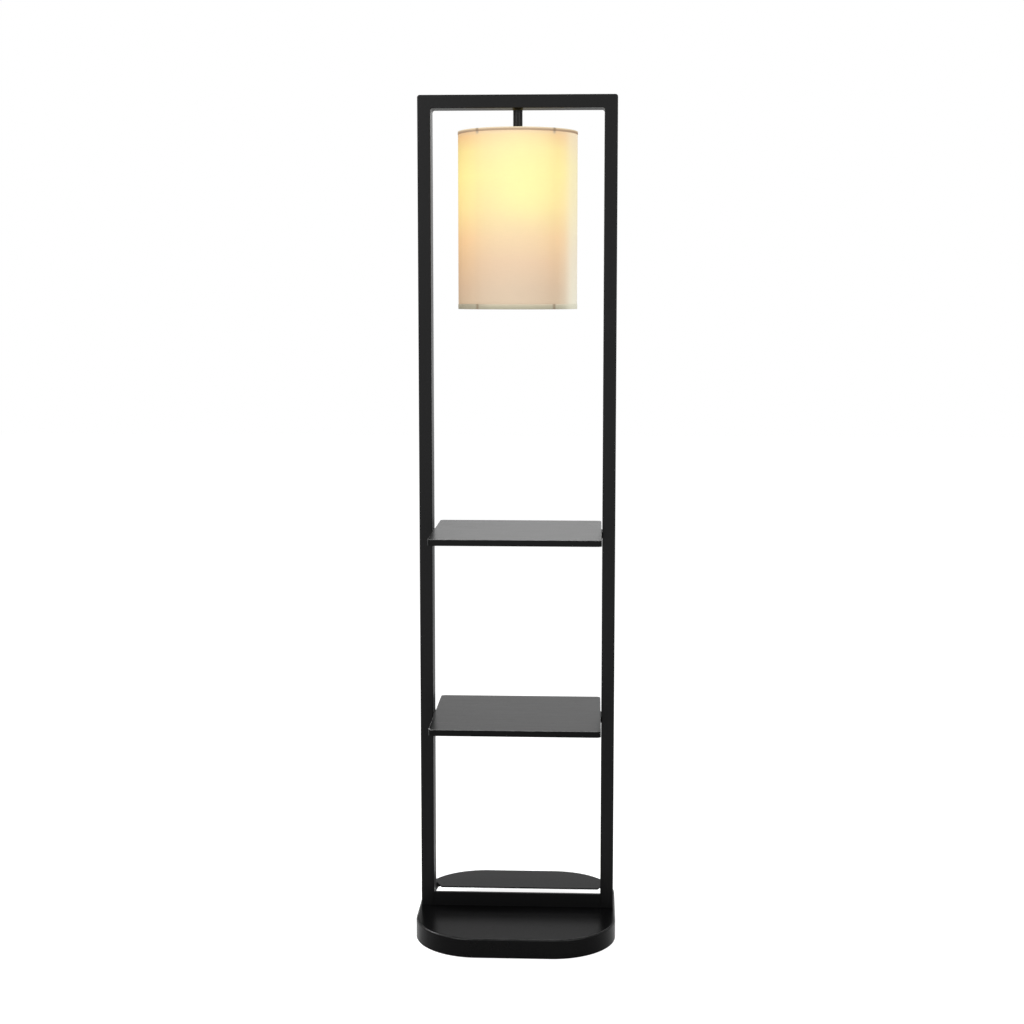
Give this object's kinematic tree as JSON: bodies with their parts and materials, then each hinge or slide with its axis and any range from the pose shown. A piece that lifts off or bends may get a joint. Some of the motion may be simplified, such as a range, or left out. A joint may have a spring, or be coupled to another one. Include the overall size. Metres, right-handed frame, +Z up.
{
  "type": "shelf floor lamp",
  "caption": "Tall black tube frame on a weighted base, with two shelves between the posts and a drum shade hanging from the top rail.",
  "frame": {"origin": "on the floor, under the middle of the base", "axes": "+X to the right seen from the front, +Y to the back, +Z up"},
  "size_m": [0.388, 0.4, 1.621],
  "materials": {
    "frame_black": "satin black powder coat",
    "base_black": "satin black powder coat",
    "shelf_black": "satin black lacquer",
    "hidden_steel": "bare steel",
    "zinc_fasteners": "zinc plated",
    "rubber": "matt",
    "black_plastic": "fine satin",
    "ceramic": "matt",
    "contacts": "plain",
    "lead_sheath": "matt",
    "shade_fabric": "cream cloth on a clear lining",
    "shade_hem": "cream cloth, folded",
    "shade_wire": "white lacquer",
    "bulb_opal": "opal, lit",
    "bulb_body": "white",
    "bulb_cap": "plain",
    "bulb_glass": "black glass",
    "led_board": "white board"
  },
  "bodies": {
    "stand": {"left_post": "frame_black", "right_post": "frame_black", "top_rail": "frame_black", "bottom_bar": "frame_black", "hang_rod": "frame_black", "upper_left_bracket": "frame_black", "upper_right_bracket": "frame_black", "lower_left_bracket": "frame_black", "lower_right_bracket": "frame_black", "base_cover": "base_black", "upper_shelf": "shelf_black", "lower_shelf": "shelf_black", "left_post_plug": "hidden_steel", "right_post_plug": "hidden_steel", "ballast_plate": "hidden_steel", "underplate": "hidden_steel", "rod_end_bush": "hidden_steel", "frame_bolts": "zinc_fasteners", "frame_washers": "zinc_fasteners", "standoffs": "zinc_fasteners", "foot_screws": "zinc_fasteners", "upper_shelf_screws": "zinc_fasteners", "lower_shelf_screws": "zinc_fasteners", "nipple": "zinc_fasteners", "nipple_locknut": "zinc_fasteners", "earth_tag": "zinc_fasteners", "foot_pads": "rubber", "cable_gland": "rubber", "holder_cap": "black_plastic", "holder_barrel": "black_plastic", "holder_insert": "ceramic", "thread_shell": "contacts", "centre_contact": "contacts", "terminal_screws": "contacts", "internal_lead": "lead_sheath"},
    "shade": {"shade_skin": "shade_fabric", "shade_top_hem": "shade_hem", "shade_bottom_hem": "shade_hem", "shade_top_wire": "shade_wire", "shade_bottom_wire": "shade_wire", "shade_struts": "shade_wire", "shade_spider": "shade_wire"},
    "shade_ring": {"retaining_ring": "black_plastic"},
    "bulb": {"bulb_dome": "bulb_opal", "bulb_body": "bulb_body", "bulb_cap": "bulb_cap", "bulb_insulator": "bulb_glass", "led_board": "led_board", "bulb_tip": "contacts"}
  },
  "joints": [
    {"name": "shade_turn", "type": "hinge", "parent": "stand", "child": "shade", "pos_m": [0, 0.007, 1.528], "axis": [0, 0, 1], "continuous": true},
    {"name": "ring_turn", "type": "hinge", "parent": "stand", "child": "shade_ring", "pos_m": [0, 0.007, 1.52], "axis": [0, 0, 1], "continuous": true},
    {"name": "bulb_turn", "type": "hinge", "parent": "stand", "child": "bulb", "pos_m": [0, 0.007, 1.5], "axis": [0, 0, 1], "continuous": true}
  ]
}
